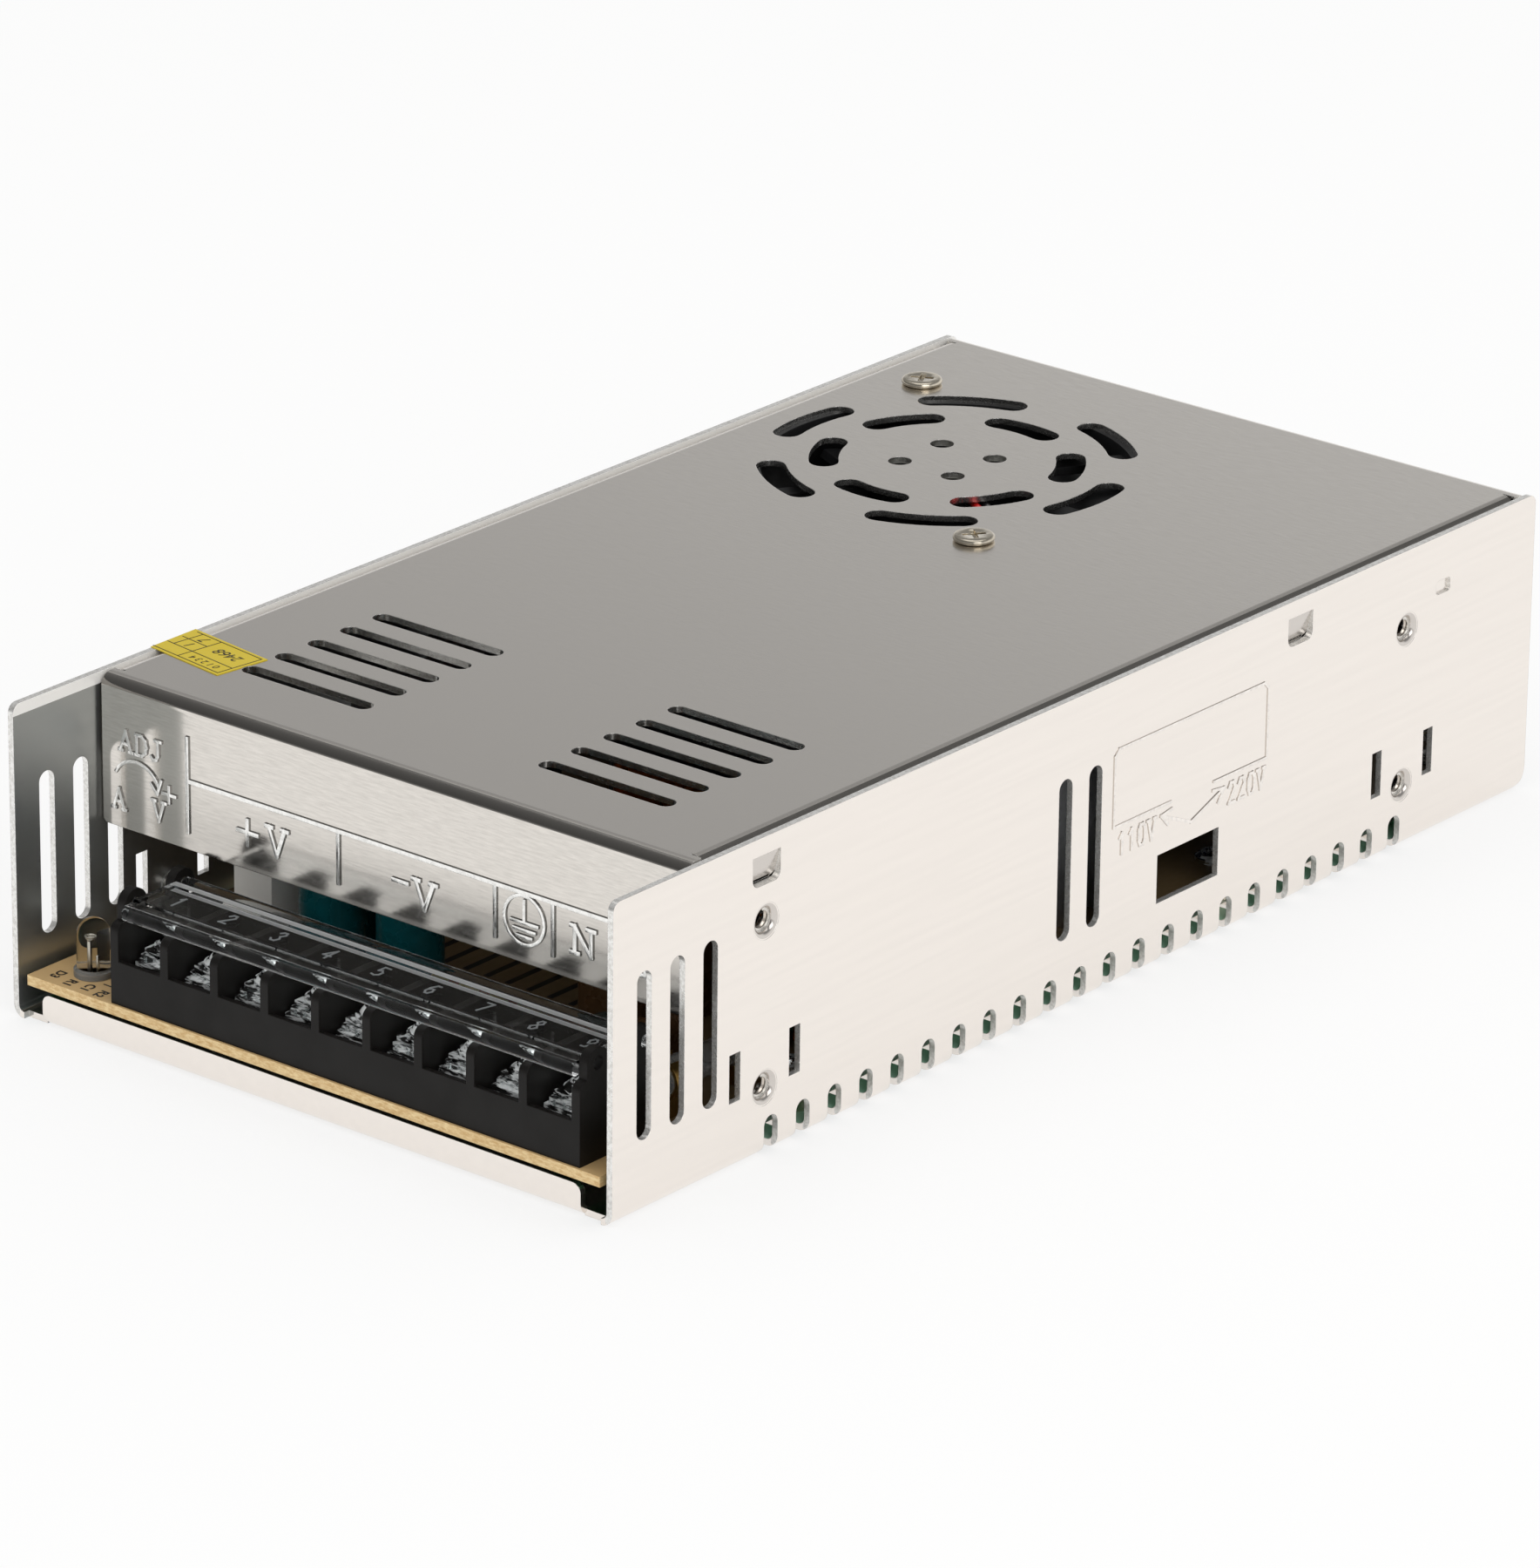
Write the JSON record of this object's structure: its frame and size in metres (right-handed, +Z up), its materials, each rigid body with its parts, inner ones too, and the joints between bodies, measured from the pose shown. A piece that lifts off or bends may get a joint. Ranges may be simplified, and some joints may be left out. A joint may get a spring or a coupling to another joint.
{
  "type": "enclosed switching power supply",
  "caption": "Enclosed switching power supply with a folded metal case, top fan, barrier screw terminals under a clear flip cover, indicator lamp and trimmer.",
  "frame": {"origin": "centre of the case's bottom face, on the surface it stands on", "axes": "+X across the case to the wall with the selector window, +Y from the terminal end to the rear, +Z up"},
  "size_m": [0.1131, 0.215, 0.05],
  "materials": {
    "wall_sheet": "satin rolled sheet",
    "cover_sheet": "fine brushed sheet",
    "zinc": "bright zinc plate",
    "nickel": "bright nickel plate",
    "tinned": "tinned strip",
    "bronze": "dull",
    "stator_iron": "varnished",
    "yellow_label": "paper label",
    "black_plastic": "matt moulded",
    "fan_plastic": "matt moulded",
    "block_plastic": "satin moulded",
    "white_plastic": "satin moulded",
    "clear_plastic": "clear moulded",
    "clear_resin": "clear cast",
    "red_wire": "vinyl",
    "black_wire": "vinyl",
    "board": "paper laminate",
    "ceramic": "cement",
    "teal_sleeve": "shrink sleeve",
    "dark_sleeve": "shrink sleeve",
    "choke_core": "coated iron powder",
    "green_core": "coated ferrite",
    "copper": "enamelled copper",
    "heatsink": "extruded",
    "ferrite": "matt ferrite",
    "yellow_tape": "film",
    "brown_coat": "dipped",
    "dark_coat": "dipped",
    "red_coat": "dipped",
    "tan_coat": "lacquered",
    "fuse_glass": "glass tube with metal ends"
  },
  "bodies": {
    "body": {"chassis": "wall_sheet", "top_cover": "cover_sheet", "cover_screws": "zinc", "seal_label": "yellow_label", "fan_frame": "black_plastic", "fan_bearing": "bronze", "fan_stator": "stator_iron", "fan_screws": "nickel", "fan_nuts": "nickel", "fan_lead_red": "red_wire", "fan_lead_black": "black_wire", "fan_plug": "white_plastic", "fan_header": "white_plastic", "circuit_board": "board", "board_standoffs": "nickel", "board_screws": "zinc", "terminal_block": "block_plastic", "terminal_contacts": "tinned", "terminal_clamps": "zinc", "terminal_screws": "zinc", "power_lamp": "clear_resin", "trimmer_body": "black_plastic", "load_resistor": "ceramic", "output_capacitors": "teal_sleeve", "output_choke_core": "choke_core", "output_choke_winding": "copper", "output_heatsink": "heatsink", "output_rectifiers": "black_plastic", "input_heatsink": "heatsink", "switching_transistors": "black_plastic", "heatsink_screws": "zinc", "main_transformer_core": "ferrite", "main_transformer_bobbin": "black_plastic", "main_transformer_winding": "copper", "driver_transformer_core": "ferrite", "driver_transformer_bobbin": "black_plastic", "driver_transformer_winding": "yellow_tape", "bulk_capacitors": "dark_sleeve", "bridge_rectifier": "black_plastic", "line_choke_core": "green_core", "line_choke_winding": "copper", "line_capacitor": "brown_coat", "safety_capacitors": "brown_coat", "fuse": "fuse_glass", "fuse_clips": "bronze", "inrush_thermistor": "dark_coat", "coupling_capacitor": "red_coat", "control_chip": "black_plastic", "small_capacitors": "dark_sleeve", "small_resistors": "tan_coat"},
    "rotor": {"fan_rotor": "fan_plastic"},
    "clear_cover": {"terminal_cover": "clear_plastic"},
    "trimmer": {"trimmer_rotor": "white_plastic"}
  },
  "joints": [
    {"name": "fan_spin", "type": "hinge", "parent": "body", "child": "rotor", "pos_m": [-0.02, 0.0605, 0.04], "axis": [0, 0, 1], "continuous": true},
    {"name": "clear_cover_hinge", "type": "hinge", "parent": "body", "child": "clear_cover", "pos_m": [0.0061, -0.093, 0.0214], "axis": [-1, 0, 0], "range_deg": [0, 95]},
    {"name": "trimmer_turn", "type": "hinge", "parent": "body", "child": "trimmer", "pos_m": [-0.0466, -0.094, 0.011], "axis": [0, 0, 1], "range_deg": [-130, 130]}
  ]
}
